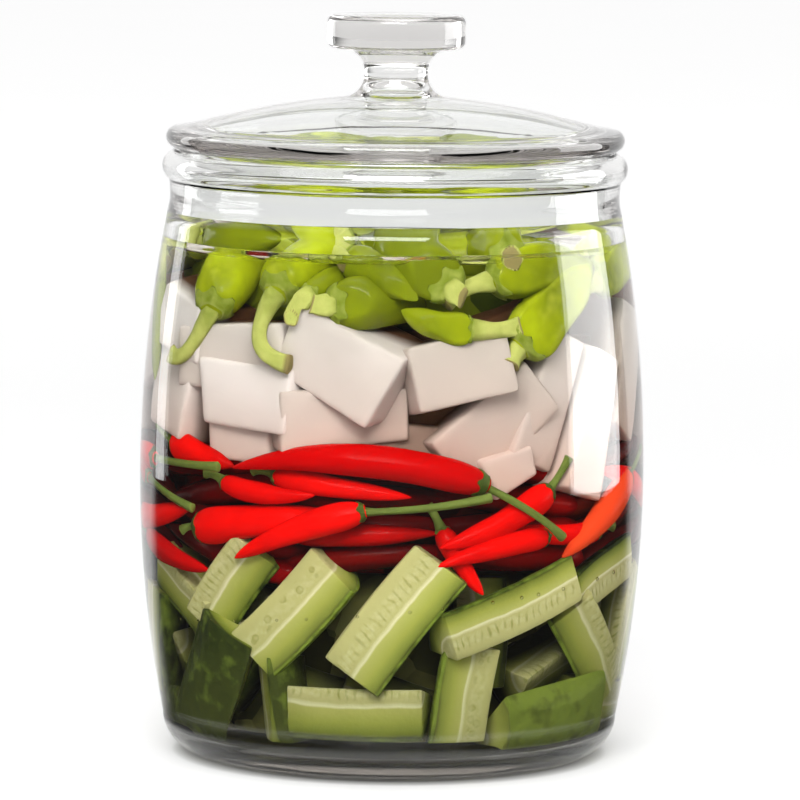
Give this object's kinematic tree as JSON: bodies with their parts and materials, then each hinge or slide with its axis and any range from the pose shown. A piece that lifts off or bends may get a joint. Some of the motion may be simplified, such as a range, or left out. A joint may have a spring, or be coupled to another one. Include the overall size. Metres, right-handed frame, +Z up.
{
  "type": "glass pickling crock",
  "caption": "Barrel-shaped clear glass crock with a loose domed lid and disc knob, filled with layers of cucumber, red chilli, white radish and green pepper in brine.",
  "frame": {"origin": "centre of the base, on the surface that the crock stands on", "axes": "+Z up along the jar's axis, -Y towards the front, +X to the right seen from the front"},
  "size_m": [0.196, 0.196, 0.287],
  "materials": {
    "glass": "clear polished glass",
    "cucumber": "wet cut cucumber with dark green skin",
    "chilli": "wet glossy red skin",
    "radish": "wet white flesh",
    "pepper": "wet glossy yellow-green skin"
  },
  "bodies": {
    "root": {"jar": "glass", "lid": "glass", "cucumber_heap": "cucumber", "chilli_heap": "chilli", "radish_heap": "radish", "pepper_heap": "pepper"}
  },
  "joints": []
}
